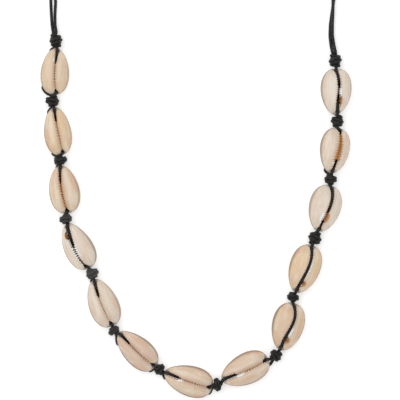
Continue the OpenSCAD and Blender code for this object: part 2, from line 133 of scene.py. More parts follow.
# The pair of cords up each side of the neck: the middle of the pair, the distance between the two cords,
# the height of both above the table and the height of the front cord above the other.
LEFT_NECK = [
    (-58.7, 70, 1.2, 0.7, 0.3),
    (-58.9, 74, 1.4, 0.1, 0.1),
    (-58.9, 79, 1.9, 0, 0),
    (-59, 84, 1.9, 0, 0),
    (-58.4, 89.5, 1.5, 0, 0),
    (-56.5, 95, 1.5, 0, 0),
    (-53, 100, 1.5, 0, 0),
    (-48, 104.5, 1.5, 0, 0),
    (-42, 108, 1.5, 0, 0),
    (-35, 110.7, 1.5, 0, 0),
    (-27.5, 112.6, 1.5, 0, 0),
    (-20, 113.7, 1.5, 0, 0),
    (-13, 114.2, 1.5, 0.2, 0),
    (-9, 114.2, 1.6, 0.6, 0),
]
RIGHT_NECK = [
    (53.1, 62, 1.2, 0.7, 0.4),
    (52.6, 66, 1.0, 0.1, 0.75),
    (52.7, 70.5, 0.8, 0, 1.0),
    (53.1, 75, 0.35, 0, 1.3),
    (53.5, 80, -0.4, 0, 1.3),
    (53.6, 85, -1.3, 0, 0.5),
    (52.9, 90, -1.5, 0, 0),
    (51, 95.2, -1.5, 0, 0),
    (47.6, 100, -1.5, 0, 0),
    (42.7, 104.2, -1.5, 0, 0),
    (36.5, 107.8, -1.5, 0, 0),
    (29.5, 110.6, -1.5, 0, 0),
    (22, 112.6, -1.5, 0, 0),
    (14.5, 113.8, -1.5, 0, 0),
    (8, 114.2, -1.5, 0.2, 0),
    (4.4, 114.2, -1.6, 0.6, 0),
]

# The tables' places are measured from the middle of the picture, which is VIEW_WIDTH wide. LOOP_SHIFT moves
# them, so that the middle of the loop lies on the origin.
LOOP_SHIFT = np.array([1.7, -18.6])
VIEW_WIDTH = 160.0

# The shape that all the shells share.
MARGIN_H = 3.5
CREST_H = 2.7
WALL = 1.1
LIP_DEPTH = 2.4
CLEARANCE = 0.14
SLIT_REACH = 0.93
THROAT_REACH = 0.84
RIM_REACH = 0.95
BACK_DEPTH = 6.6
RIGHT_EGG = 0.15
FULLNESS = 0.07
TIP_DROP = 0.2
CANAL_DEPTH = 1.1
CANAL_WIDE = 2.9
CREST_AT = 0.26
# Past this share of the slit its lips draw in over the front cord, this soon and to this much room for it.
DRAW_AT = 0.82
DRAW_FADE = 0.14
DRAW_ROOM = 0.08
SLIT_TAPER = 0.6
# How wide the slit is below the lips, as a share of its width between them.
THROAT_SHARE = 0.06
# How far the throat stands back from a cord in the slit, and how far it reaches below it at a notch.
THROAT_BACK = 0.6
THROAT_UNDER = -0.3
LIP_TAPER = 0.6
# The slit takes up no more than this share of a flank.
SLIT_ROOM = 0.75
# Two points on the flank of a lip: their share of the way from its edge to the margin, and their height
# as a share of the crest's.
SHOULDERS = ((0.62, 0.84), (0.88, 0.45))
# The height of the flank's and the inner wall's middle, as a share of the way from the rim to the margin.
FLANK_AT = 0.45
INNER_AT = 0.5
# How far the ceiling of the hollow lies above the throat.
CEILING_RISE = 0.3
# How far the throat lies below the canals at the two tips.
CANAL_SILL = 0.45
# The gates, where the back cord passes below the wall: their places, half their width and its fading are in
# steps, with STEPS_ROUND to a full turn. GATE_CLEAR is the room above the cord, and GATE_INSIDE how far the
# cord goes straight on inside the wall.
STEPS_ROUND = 38
GATE_WIDE = 2.6
GATE_FADE = 1.2
GATE_CLEAR = 0.2
GATE_INSIDE = 1.2

# The surface of a shell: which share of the teeth's wave lies level with the lip, how deep its long and its
# fine unevenness are, past which length a glint is dotted, and from which amber on the throat is filled.
TOOTH_FROM = 0.75
UNEVEN = 0.05
CHIPPED = 0.02
DOTTED_FROM = 0.25
FILLED_FROM = 0.9

# Where the front cord runs over a shell, STRAND_REACH of it in STRAND_RINGS steps. Its sinking and rising
# and the closing and opening of the lips over it take these shares of half a shell, and OPEN_LEAD is how
# long after its rise begins the lips open. CANAL_RIDE is how much it clears a canal, SLIT_RIDE how high it
# lies above the margin, TIP_SLOPE the share in which it goes from one to the other, and HOLLOW_Z its height
# when sunk.
STRAND_REACH = 0.96
STRAND_RINGS = 12
SINK_LENGTH = 0.26
RISE_LENGTH = 0.26
CLOSE_LENGTH = 0.16
OPEN_LENGTH = 0.08
OPEN_LEAD = 0.05
CANAL_RIDE = 0.45
SLIT_RIDE = 1.1
TIP_SLOPE = 0.38
HOLLOW_Z = 1.95
# How far outside the margin the back cord skirts a shell, or inside it at a tip, and how far it is lifted.
SKIRT_OUT = 0.35
TIP_IN = -0.3
SKIRT_LIFT = 0.15
# Where the cords leave a knot: the height of the back cord and how far aside it is, the height of a neck's
# pair and half its width, and the share of the knot's own offset that they take back.
BACK_PORT_Z = 1.3
PORT_SIDE = 0.8
PAIR_PORT_Z = 2.1
PAIR_HALF = 0.65
PORT_BACK = 0.6

# How much wider a knot is tied than its row says.
KNOT_FULLNESS = 0.45
# How much thicker the cords swell where a knot squeezes them flat against each other, as a share.
KNOT_SWELL = 0.05
# The turns of three ties before they are pulled tight. The knots take the ties one after another.
KNOT_TURNS = (2.0, 2.2, 2.1)
# How a knot is tied. In cord diameters: how far out its ends start, how far each strand lies from the middle
# of the two, how close along a strand points don't push each other off, and how close others are watched.
# Then how often they are looked for, in rounds, how often each round mends lengths and pushes, how much it
# rounds the bends, and in what share of the rounds the ends are pulled.
TIE_START = 7.5
TIE_APART = 0.55
TIE_SKIP = 1.3
TIE_WATCH = 1.7
TIE_SEARCH = 8
TIE_MENDS = 7
TIE_EASING = 0.25
TIE_PULLING = 0.85
# The bundle of a tied knot: what lies farther than BUNDLE_CORE from its axis and nearer than BUNDLE_HALF to
# its middle. A knot's cords are cut off at BUNDLE_END, as a share of half the bundle's length.
BUNDLE_CORE = 1.3
BUNDLE_HALF = 5
BUNDLE_END = 1.04
# How far the upper part of a knot reaches over the two shell tips, from which height up and how soon.
KNOT_OVERHANG = 1.0
OVERHANG_FROM = 2.5
OVERHANG_RISE = 1.8

# The barrel knot: its size, by how many turns its coil goes on below itself at both ends, how far in it comes
# there and how soon, how far out its four inner cords lie, how much shorter they are at each end, and how
# deep the necks' cords go in.
CLOSING_LENGTH = 9.0
CLOSING_WIDTH = 4.4
CLOSING_TUCK = 0.35
TUCKED_RADIUS = 0.6
TUCK_TURNS = 0.5
BUNDLE_RADIUS = 0.8
BUNDLE_INSET = 0.2
CLOSING_DEPTH = 1.5

# The owners of the stretches of cord outside the knots.
ON_SHELLS, ON_LEFT_NECK, ON_RIGHT_NECK = -1, -2, -3

# How finely the meshes are cut: the shells, a turn of the barrel knot's coil, and the cords. GRAIN_RADIUS is
# the radius on which a cord's fibres are laid.
SHELL_STATIONS = 300
SECTION_CUTS = (7, 8, 7, 5, 5, 5, 4, 2, 3, 3, 3)
SECTION_CORNERS = (7, 8)
COIL_CUTS = 70
CORD_STEP = 0.2
CORD_SIDES = 18
GRAIN_RADIUS = 0.6
# How often the cords' bends are eased, and how much a knot's own bends give way.
EASING_ROUNDS = 14
KNOT_GIVE = 0.25

# Colours that aren't settings: the growth bands, streaks and clouds of the glaze, the peach of the flanks,
# the painted shade in the grooves and the throat, the grey on some knots, partly old wax and partly painted
# sheen, and the painted shade in the furrows of the cord.
BAND_COLOR = (0.955, 0.915, 0.850)
STREAK_COLOR = (0.86, 0.72, 0.58)
CLOUD_COLOR = (0.955, 0.905, 0.835)
PEACH_COLOR = (0.905, 0.745, 0.620)
GROOVE_SHADE_COLOR = (0.22, 0.14, 0.09)
THROAT_SHADE_COLOR = (0.16, 0.10, 0.07)
OLD_WAX_AND_SHEEN_COLOR = (0.330, 0.320, 0.310)
FURROW_SHADE_COLOR = (0.035, 0.032, 0.030)
# Light values, with alpha: the white painted into the glaze as a glint, a painted highlight, and the white of
# the table's glow and the sky.
GLINT_LIGHT = (1.0, 0.99, 0.97, 1.0)
WHITE_LIGHT = (1.0, 1.0, 1.0, 1.0)

# The stage, in metres and, for the table, in millimetres from its middle to its edges.
SOFTBOX_PLACE = (-0.18, 0.16, 0.75)
SOFTBOX_SIZE = (0.9, 0.9)
SENSOR_WIDTH = 36.0
TABLE_REACH = 1500.0


def color_setting(name, description, default):
    """A setting that holds a colour with gamma, as a picker shows it."""
    return FloatVectorProperty(name=name, description=description, default=default, size=3, min=0, max=1,
                               subtype="COLOR_GAMMA")


class ShellSettings(bpy.types.PropertyGroup):
    """Sizes and colours of the cowries."""

    tooth_pitch: FloatProperty(
        name="Tooth pitch", description="Distance from one tooth of a lip to the next",
        default=0.00112, min=0.0008, max=0.002, subtype="DISTANCE", unit="LENGTH")
    tooth_height: FloatProperty(
        name="Tooth height", description="Height of a tooth from the groove to its top",
        default=0.00042, min=0.0001, max=0.0006, subtype="DISTANCE", unit="LENGTH")
    glaze_color: color_setting("Glaze", "Cream of the glaze", (0.925, 0.850, 0.755))
    pink_color: color_setting("Pink glaze", "Glaze of the pinkest shells", (0.895, 0.785, 0.700))
    gold_color: color_setting("Golden glaze", "Glaze of the most golden shells", (0.940, 0.840, 0.690))
    pale_color: color_setting("Pale glaze", "Glaze of the palest shells", (0.945, 0.900, 0.840))
    lip_color: color_setting("Teeth", "Near white of the teeth and the lips' edges", (0.960, 0.925, 0.870))
    # The margin colour is partly the shells' own grey brown and partly painted shade where the flank turns
    # down.
    margin_and_shade_color: color_setting("Margin", "Grey brown of the flanks", (0.440, 0.370, 0.320))
    # A brown painted shade along the slit, where the lips roll into it.
    slit_shade_color: color_setting("Brink", "Brown along the slit of a closed shell", (0.700, 0.500, 0.340))
    amber_color: color_setting("Amber", "Orange brown inside the slit", (0.780, 0.550, 0.310))
    cut_color: color_setting(
        "Ground cut", "Chalky white where the back was ground off", (0.900, 0.870, 0.830))


class CordSettings(bpy.types.PropertyGroup):
    """Sizes and colours of the waxed cords."""

    thickness: FloatProperty(
        name="Cord thickness", description="Diameter of one waxed cord",
        default=0.00128, min=0.001, max=0.0013, subtype="DISTANCE", unit="LENGTH")
    lay: FloatProperty(
        name="Lay", description="Length of one turn of the twist",
        default=0.0033, min=0.002, max=0.006, subtype="DISTANCE", unit="LENGTH")
    plies: IntProperty(
        name="Plies", description="Yarns that are twisted into a cord", default=3, min=2, max=4)
    ply_depth: FloatProperty(
        name="Ply depth", description="Depth of the furrow between two plies, as a share of the radius",
        default=0.11, min=0, max=0.3, subtype="FACTOR")
    cord_color: color_setting("Cord", "Charcoal of the dyed cotton", (0.070, 0.064, 0.060))
    # The bloom's grey is partly wax and partly painted sheen.
    wax_and_sheen_color: color_setting("Wax bloom", "Grey where the wax has rubbed up", (0.260, 0.252, 0.248))


class KnotSettings(bpy.types.PropertyGroup):
    """How the knots are tied."""

    pull: FloatProperty(
        name="Pull", description="How far each end is pulled out while a knot tightens",
        default=0.017, min=0.014, max=0.020, subtype="DISTANCE", unit="LENGTH")
    closing_turns: IntProperty(
        name="Closing turns", description="Turns round the barrel knot that closes the loop",
        default=6, min=4, max=7)


class StageSettings(bpy.types.PropertyGroup):
    """The table, the light and the camera."""

    floor_color: color_setting("Table", "Pale table top", (0.93, 0.93, 0.93))
    table_glow: FloatProperty(
        name="Table glow", description="Light that the light table itself gives",
        default=0.42, min=0, max=1)
    camera_height: FloatProperty(
        name="Camera height", description="Height of the camera above the table",
        default=0.90, min=0.3, max=2, subtype="DISTANCE", unit="LENGTH")
    softbox_power: FloatProperty(
        name="Softbox power", description="Power of the softbox above the table",
        default=2.8, min=0, max=60, subtype="POWER", unit="POWER")
    sky: FloatProperty(
        name="Sky", description="Brightness of the even light from all round",
        default=0.55, min=0, max=2)


def lerp(a, b, k):
    return a + (b - a) * k


def share(k):
    return np.clip(k, 0.0, 1.0)


def ease(k):
    k = share(k)
    return k * k * (3 - 2 * k)


def forward(angle):
    return np.array([cos(radians(angle)), sin(radians(angle))])


def rightward(angle):
    return np.array([sin(radians(angle)), -cos(radians(angle))])


def unit(vectors):
    return vectors / np.maximum(np.linalg.norm(vectors, axis=-1, keepdims=True), 1e-12)


def travelled(line):
    """How far along a line each of its points lies."""
    return np.concatenate([[0], np.cumsum(np.linalg.norm(np.diff(line, axis=0), axis=1))])


def spaced(points, count):
    """The same line with evenly spaced points. Columns after the third are carried along."""
    along = travelled(points[:, :3])
    places = np.linspace(0, along[-1], count)
    return np.stack([np.interp(places, along, column) for column in points.T], axis=1)


def linear(gamma_color):
    """Linear colour, with alpha, from the gamma colour that a setting holds."""
    parts = [c / 12.92 if c <= 0.04045 else ((c + 0.055) / 1.055) ** 2.4 for c in gamma_color]
    return (*parts, 1.0)


def grey(light):
    return (light, light, light, 1.0)


def margin_line(shell, angle):
    """The widest line of a shell. The angle runs from the narrow tip over the right flank, in radians."""
    flank = np.sin(angle)
    egg = np.where(flank < 0, shell.egg, RIGHT_EGG)
    fullness = np.abs(flank) ** (0.95 + FULLNESS * np.cos(angle))
    x = np.sign(flank) * shell.width / 2 * fullness * (1 - egg * np.cos(angle)) / (1 + egg * egg / 2)
    return np.stack([x, -shell.length / 2 * np.cos(angle)], axis=-1)


def slit_line(shell, s):
    bow = shell.slit_bow + shell.slit_skew * s
    return lerp(shell.slit_in, shell.slit_out, (s + 1) / 2) + (1 - s * s) * bow


def opening(look, s):
    """Half the width that the lips leave open over the front cord."""
    tilt = (look.open_out - look.open_in) / 2
    bend = (look.open_in + look.open_out) / 2 - look.open_mid
    return (look.open_mid + tilt * s + bend * s * s) / 2


def mark(s, place, length):
    """1 at a place along the shell, fading out within about the length on both sides."""
    return np.exp(-((s - place) / max(abs(length), 0.01)) ** 4) * (length != 0)


def closed(shell, s):
    """1 where the lips close over the sunk front cord, and 0 where it lies in the slit."""
    closing = ease((s - shell.dive - SINK_LENGTH) / CLOSE_LENGTH)
    return closing * (1 - ease((s - shell.rise - OPEN_LEAD) / OPEN_LENGTH))


def base_height(s):
    return MARGIN_H - TIP_DROP * s * s


def swell(s):
    return CREST_H * (1 - np.abs(s) ** 3).clip(0) ** 0.8


def lean(shell, x):
    return -x * sin(radians(shell.roll))


def steps_between(angle, other):
    """Steps round the shell from one angle to the other."""
    turn = np.abs(angle - other) % (2 * pi)
    return np.minimum(turn, 2 * pi - turn) * STEPS_ROUND / (2 * pi)


def canal(shell, angle):
    """Depth of the notch in a tip, where the front cord passes over it."""
    across = margin_line(shell, angle)[..., 0]
    slit_end = slit_line(shell, -np.sign(np.cos(angle)) * SLIT_REACH)
    return CANAL_DEPTH * ease(1 - np.abs(across - slit_end) / CANAL_WIDE)


def gate_angle(shell, end):
    step = 2 * pi / STEPS_ROUND
    return shell.gate_in * step if end < 0 else pi - shell.gate_out * step


def rim_height(shell, angle, gate_h):
    steps = np.minimum(*(steps_between(angle, gate_angle(shell, end)) for end in (-1, 1)))
    return gate_h * ease((GATE_WIDE - steps) / GATE_FADE)


def tuck(s, drop):
    """How far in the flank lies at a height below the margin, as a share of the margin."""
    return np.sqrt(1 - (drop / BACK_DEPTH) ** 2) * lerp(1, RIM_REACH, np.abs(s) ** 6)


def wobble(x, y, seed, scale):
    """A smooth, repeatable unevenness between about -1 and 1."""
    total = 0
    for k in range(4):
        turn = seed * 1.7 + k * 2.4
        total = total + np.sin((x * cos(turn) + y * sin(turn)) * scale * (0.7 + 0.45 * k) + seed * 3.1 + k)
    return total / 2.6


def tooth_wave(shell, seed, s, side, pitch):
    """1 on top of a tooth and 0 in the groove beside it, for the right or the left lip."""
    y = s * shell.length / 2
    drift = 0.16 * np.sin(y * 0.8 + seed) + 0.1 * np.sin(y * 1.9 + seed * 2.3)
    spacing = np.where(side > 0, pitch, pitch * 0.88)
    wave = 0.5 + 0.5 * np.cos(2 * pi * (y + drift) / spacing + seed * 1.3 + side)
    return wave ** 0.75


def section_corners(shell, look, angle, lane):
    """The points that the wall's sections pass through, one row for each angle."""
    s = -np.cos(angle)
    half = shell.length / 2
    side = np.sign(np.sin(angle))
    end = s ** 12
    margin = margin_line(shell, angle)
    notched = mark(s, look.notch_at, look.notch_long) * (side > 0)
    room = SLIT_ROOM * np.abs(margin[:, 0])
    slit_x = slit_line(shell, s * SLIT_REACH)
    shut = closed(shell, s)
    drawn_in = ease((np.abs(s) - DRAW_AT) / DRAW_FADE)
    over_cord = lerp(opening(look, s), lane + DRAW_ROOM, drawn_in)
    under = lane + lerp(THROAT_BACK, THROAT_UNDER, notched)
    over_hollow = shell.slit / 2 * (1 - SLIT_TAPER * s)
    gap = np.minimum(lerp(over_cord, over_hollow, shut) + look.notch * notched, room)
    pinch = np.minimum(lerp(under, shell.slit * THROAT_SHARE / 2, shut), room)
    edge = np.stack([slit_x + side * gap, half * SLIT_REACH * s], axis=-1)
    throat = np.stack([slit_x + side * pinch, half * THROAT_REACH * s], axis=-1)
    sunk = canal(shell, angle)

    def lip(k, height):
        plan = lerp(edge, margin, k)
        return plan, base_height(s) + swell(s) * height + lean(shell, plan[:, 0]) - sunk

    margin_z = base_height(s) + lean(shell, margin[:, 0]) - sunk
    crest_z = base_height(s) + swell(s) + lean(shell, edge[:, 0])
    lip_z = crest_z - LIP_DEPTH * (1 - LIP_TAPER * s ** 4) * lerp(1, look.deep, shut)
    throat_z = lerp(lip_z, base_height(1) - CANAL_DEPTH - CANAL_SILL, end)
    rim_z = rim_height(shell, angle, lane + lane - CLEARANCE + GATE_CLEAR)
    flank_z = lerp(rim_z, margin_z, FLANK_AT)
    flank = margin * tuck(s, margin_z - flank_z)[:, None]
    rim = margin * tuck(s, margin_z - rim_z)[:, None]
    inward = -unit(margin) * WALL
    inner_z = lerp(rim_z, margin_z, INNER_AT)
    ceiling_z = lerp(throat_z + CEILING_RISE, (throat_z + inner_z) / 2, end)
    corners = [
        (throat, throat_z),
        lip(0, look.edge),
        lip(CREST_AT, 1),
        *(lip(*shoulder) for shoulder in SHOULDERS),
        (margin, margin_z),
        (flank, flank_z),
        (rim, rim_z),
        (rim + inward, rim_z),
        (flank + inward, inner_z),
        (lerp(throat, flank + inward, 0.5), ceiling_z),
    ]
    return np.stack([np.column_stack(corner) for corner in corners], axis=1)


def smooth_sections(corners):
    """Rounds the sections: a curve through each row's points, straight where a point is a cut corner."""
    count = corners.shape[1]
    after = np.roll(corners, -1, axis=1)
    chord = np.sqrt(np.maximum(np.linalg.norm(after - corners, axis=2, keepdims=True), 1e-6))
    before_chord = np.roll(chord, 1, axis=1)
    slope = (after - corners) / chord
    slope_before = np.roll(slope, 1, axis=1)
    tangent = (slope_before * chord + slope * before_chord) / (chord + before_chord)
    rows, places = [], []
    for j, cuts in enumerate(SECTION_CUTS):
        nxt = (j + 1) % count
        start = slope[:, j] if j in SECTION_CORNERS else tangent[:, j]
        stop = slope[:, j] if nxt in SECTION_CORNERS else tangent[:, nxt]
        for c in range(cuts):
            k = c / cuts
            p = (corners[:, j] * (2 * k ** 3 - 3 * k ** 2 + 1) + corners[:, nxt] * (3 * k ** 2 - 2 * k ** 3)
                 + (start * (k ** 3 - 2 * k ** 2 + k) + stop * (k ** 3 - k ** 2)) * chord[:, j])
            rows.append(p)
            places.append(j + k)
    return np.stack(rows, axis=1), np.array(places)


def surface_normals(grid):
    """Outward normals of a closed band of sections."""
    along = np.roll(grid, -1, axis=0) - np.roll(grid, 1, axis=0)
    around = np.roll(grid, -1, axis=1) - np.roll(grid, 1, axis=1)
    return unit(np.cross(along, around))


def shape_shell(shell, look, seed, settings, lane):
    """Points and finish masks of one shell, as a grid of stations by places on the section.

    Places count the corners: 0 is the throat, 1 the lip's edge, 2 the crest, 5 the margin, 7 to 8 the ground
    rim and 10 the ceiling, after which the section comes back to the throat.
    """
    turn = -np.arange(SHELL_STATIONS) * 2 * pi / SHELL_STATIONS
    angle = turn + 0.15 * np.sin(2 * turn)
    grid, place = smooth_sections(section_corners(shell, look, angle, lane))
    s = -np.cos(angle)[:, None]
    side = np.sign(np.sin(angle))[:, None]
    place = np.broadcast_to(place, grid.shape[:2])

    top = ease(place / 0.8) * ease((5.6 - place) / 1.2)
    reach = 1.35 + 1.1 * look.teeth + np.where(side > 0, 0.2, 0.0)
    lip = ease((reach - place) / 0.9) + ease((place - 10.3) / 0.7)
    ends = ease((0.93 - np.abs(s)) / 0.12)
    wave = tooth_wave(shell, seed, s, side, settings.tooth_pitch / MM)
    tooth = (wave - TOOTH_FROM) * settings.tooth_height / MM * lip * ends
    unevenness = UNEVEN * wobble(grid[..., 0], grid[..., 1], seed, 0.55) * top * ease((place - 2) / 1.5)
    chips = CHIPPED * wobble(grid[..., 0] + 9, grid[..., 1], seed, 2.7) * top
    grid = grid + surface_normals(grid) * (tooth + unevenness + chips)[..., None]

    tint = np.array(linear(settings.glaze_color)[:3])
    for kind in ("pink", "gold", "pale"):
        tint = lerp(tint, np.array(linear(getattr(settings, f"{kind}_color"))[:3]), getattr(look, kind))
    filled = max(look.shade, float(look.amber >= FILLED_FROM))
    dotted = float(abs(look.glint) > DOTTED_FROM)
    lit = np.maximum(side * look.glint > 0, look.shade * dotted)
    near_slit = ease((1.9 - place) / 0.5)
    masks = {
        "lip": lip * ends * ease(place / 0.8),
        # groove and throat carry the amber of the slit and, where shade is set, painted shade: dark brown
        # down in the slit and between the teeth.
        "groove": (1 - wave) * lip * ends,
        "throat": share(1 - ease((place - lerp(0.35, 0.85, filled)) / 0.4) + ease((place - 8.4) / 1.2)),
        "cut": ease((place - 6.93) / 0.1) * ease((8.1 - place) / 0.1),
        # A darker band on the steep flank: partly the shell's own grey brown margin, partly painted shade.
        "margin": look.margin * ease((place - 3.7) / 0.8) * ease((6.6 - place) / 1.0),
        "flank": (1 - 0.7 * look.pale) * ease((place - 2.6) / 0.9) * ease((5.5 - place) / 1.0),
        "tip": ease((np.abs(s) - 0.74) / 0.24) * ease((5 - place) / 1.0),
        # Brown painted shade along the slit.
        "brink": look.brink * ease((2.5 - place) / 1.6) * (1 - 0.3 * wave) * ends,
        "notch": mark(s, look.notch_at, look.notch_long * 1.15) * near_slit * (side > 0),
        # A painted highlight: white on the lips by the slit, for light on the teeth and the bright table seen
        # through the slit.
        "glint": (mark(s, look.glint_at, look.glint) * lit * ease((wave - lerp(-1, 0.35, dotted)) / 0.2)
                  * ease((1.8 - place) / 0.35)),
    }
    masks.update((name, np.full(place.shape, getattr(look, name))) for name in ("amber", "shade", "wear"))
    return grid, masks, tint


def table_place(shell, points):
    """Carries points of a shell's own frame to the table."""
    middle = np.array([shell.x, shell.y]) + LOOP_SHIFT
    plan = middle + points[..., :1] * rightward(shell.heading) + points[..., 1:2] * forward(shell.heading)
    return np.concatenate([plan, points[..., 2:3]], axis=-1)


def band_faces(stations, cuts):
    here = np.arange(stations * cuts).reshape(stations, cuts)
    after = np.roll(here, -1, axis=0)
    corners = [here, after, np.roll(after, -1, axis=1), np.roll(here, -1, axis=1)]
    return np.stack(corners, axis=-1).reshape(-1, 4)


def make_piece(name, points, faces, material):
    """A smooth-shaded object from points in millimetres."""
    mesh = bpy.data.meshes.new(name)
    mesh.from_pydata((np.asarray(points) * MM).tolist(), [], [list(map(int, face)) for face in faces])
    mesh.polygons.foreach_set("use_smooth", [True] * len(mesh.polygons))
    mesh.materials.append(material)
    mesh.update()
    piece = bpy.data.objects.new(name, mesh)
    bpy.context.scene.collection.objects.link(piece)
    return piece


def add_mask(piece, name, values):
    layer = piece.data.attributes.new(name, "FLOAT", "POINT")
    layer.data.foreach_set("value", np.asarray(values, dtype=np.float32).ravel())


def add_vectors(piece, name, vectors):
    """Keeps the grain, which is a place on the surface in millimetres, or the tint of the glaze."""
    layer = piece.data.attributes.new(name, "FLOAT_VECTOR", "POINT")
    layer.data.foreach_set("vector", np.asarray(vectors, dtype=np.float32).ravel())


def hand_over(piece, slot, *nodes):
    """The piece moves with the part and stands for its nodes, whose parts it hides. The slot is not used."""
    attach(piece, "root")
    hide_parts(*nodes)


class Finish:
    """A material in the making: a principled shader and short words for the nodes that feed it."""

    def __init__(self, name):
        self.material = bpy.data.materials.new(name)
        self.material.use_nodes = True
        self.tree = self.material.node_tree
        self.shader = self.tree.nodes["Principled BSDF"]

    def put(self, socket, value):
        """Sets a socket to a number or a colour, or links it to another node's output."""
        if isinstance(value, (float, tuple)):
            socket.default_value = value
        else:
            self.tree.links.new(value, socket)

    def node(self, kind, inputs=None, **values):
        """The outputs of a new node. Its inputs are given by name or number."""
        node = self.tree.nodes.new(kind)
        for key, value in values.items():
            setattr(node, key, value)
        for key, value in (inputs or {}).items():
            self.put(node.inputs[key], value)
        return node.outputs

    def mask(self, name, output="Fac"):
        return self.node("ShaderNodeAttribute", attribute_name=name)[output]

    def noise(self, stretch, detail=3.0, roughness=0.55):
        """Noise on the grain, which is stretched along its three directions."""
        inputs = {0: self.mask("grain", "Vector"), 1: stretch}
        place = self.node("ShaderNodeVectorMath", inputs, operation="MULTIPLY")["Vector"]
        inputs = {"Vector": place, "Scale": 1.0, "Detail": detail, "Roughness": roughness}
        return self.node("ShaderNodeTexNoise", inputs)["Fac"]

    def ranged(self, value, low, high, to_low=0.0, to_high=1.0):
        inputs = {"Value": value, "From Min": low, "From Max": high, "To Min": to_low, "To Max": to_high}
        return self.node("ShaderNodeMapRange", inputs, interpolation_type="SMOOTHSTEP")["Result"]

    def times(self, a, b):
        return self.node("ShaderNodeMath", {0: a, 1: b}, operation="MULTIPLY")["Value"]

    def mix(self, factor, a, b):
        return self.node("ShaderNodeMix", {0: factor, 6: a, 7: b}, data_type="RGBA")[2]

    def paint(self, color, mask, strength, paint):
        """The colour with a paint over it where the mask says so."""
        return self.mix(self.times(self.mask(mask), strength), color, linear(paint))

    def mottle(self, color, stretch, detail, low, high, strength, paint):
        """The colour with a paint that comes over it as a noise goes up through a range."""
        cover = self.ranged(self.noise(stretch, detail), low, high, 0.0, strength)
        return self.mix(cover, color, linear(paint))

    def bump(self, height, strength, distance, **under):
        """A relief. Normal gives the relief below it."""
        inputs = {"Strength": strength, "Distance": distance, "Height": height, **under}
        return self.node("ShaderNodeBump", inputs)["Normal"]

    def feed(self, **sockets):
        """Links or sets the shader's sockets. An underscore in a name stands for a space."""
        for key, value in sockets.items():
            self.put(self.shader.inputs[key.replace("_", " ")], value)


def cowrie_glaze(settings):
    """Cream glaze: growth streaks, near-white teeth, amber in the slit, a chalky ground cut, painted shade
    and highlights.
    """
    f = Finish("cowrie glaze")
    color = f.mottle(f.mask("tint", "Color"), (0.16, 0.12, 0.2), 2.0, 0.35, 0.7, 0.45, settings.pink_color)
    color = f.mottle(color, (0.55, 0.05, 0.3), 2.0, 0.45, 0.62, 0.45, BAND_COLOR)
    color = f.mottle(color, (1.9, 0.13, 0.3), 4.0, 0.48, 0.72, 0.5, STREAK_COLOR)
    color = f.mottle(color, (0.32, 0.2, 0.3), 2.0, 0.52, 0.72, 0.45, CLOUD_COLOR)
    for mask, strength, paint in (
        ("flank", f.ranged(f.noise((0.3, 0.14, 0.3)), 0.42, 0.62, 0.0, 0.8), PEACH_COLOR),
        ("tip", 0.5, settings.pale_color),
        # The margin: partly its own grey brown, partly painted shade where the flank turns down.
        ("margin", 0.85, settings.margin_and_shade_color),
        ("lip", 0.55, settings.lip_color),
        # Brown painted shade along the slit.
        ("brink", 0.85, settings.slit_shade_color),
        ("groove", f.times(f.mask("amber"), 0.6), settings.amber_color),
        # Painted shade between the teeth.
        ("groove", f.times(f.mask("shade"), 0.85), GROOVE_SHADE_COLOR),
        ("throat", f.ranged(f.mask("amber"), 0.0, 1.0, 0.35, 0.95), settings.amber_color),
        # Painted shade down in the throat of the slit.
        ("throat", f.mask("shade"), THROAT_SHADE_COLOR),
        ("notch", 0.85, settings.amber_color),
    ):
        color = f.paint(color, mask, strength, paint)
    # The painted white glints beside the slit.
    color = f.mix(f.mask("glint"), color, GLINT_LIGHT)
    color = f.paint(color, "cut", 1.0, settings.cut_color)
    wear = f.times(f.ranged(f.noise((0.8, 0.5, 0.8), 5.0), 0.5, 0.7), f.mask("wear"))
    gloss = f.mix(f.mask("cut"), f.mix(wear, grey(0.24), grey(0.42)), grey(0.85))
    relief = f.bump(f.noise((5.0, 0.45, 1.0)), 0.12, 0.00012)
    chalk = f.times(f.noise((3.0, 3.0, 3.0), 5.0), f.mask("cut"))
    relief = f.bump(chalk, 0.5, 0.00015, Normal=relief)
    f.feed(Base_Color=color, Roughness=gloss, Normal=relief, IOR=1.5, Coat_Weight=0.35,
           Coat_Roughness=0.12, Subsurface_Weight=0.12, Subsurface_Radius=(1.0, 0.6, 0.4),
           Subsurface_Scale=0.0012)
    return f.material


def waxed_cotton(settings):
    """Charcoal waxed cotton: fine fibres along the plies, a soft sheen, a grey wax bloom that is partly
    painted sheen, and painted shade in the furrows.
    """
    f = Finish("waxed cotton")
    fibres = f.noise((1.1, 14.0, 14.0), 4.0, 0.65)
    # A grey bloom over the charcoal, partly wax and partly painted sheen.
    color = f.mottle(linear(settings.cord_color), (0.9, 1.6, 1.6), 3.0, 0.52, 0.68, 1.0, settings.wax_and_sheen_color)
    color = f.mix(f.ranged(fibres, 0.4, 0.7, 0.0, 0.3), color, linear(settings.wax_and_sheen_color))
    # Some knots painted greyer: partly old wax, partly painted sheen.
    color = f.paint(color, "wax", 1.0, OLD_WAX_AND_SHEEN_COLOR)
    # Painted shade in the furrows between the plies.
    color = f.paint(color, "furrow", 0.7, FURROW_SHADE_COLOR)
    gloss = f.ranged(fibres, 0.3, 0.7, 0.36, 0.55)
    relief = f.bump(fibres, 0.55, 0.00008)
    f.feed(Base_Color=color, Roughness=gloss, Normal=relief, IOR=1.38, Sheen_Weight=0.04,
           Sheen_Roughness=0.5)
    return f.material


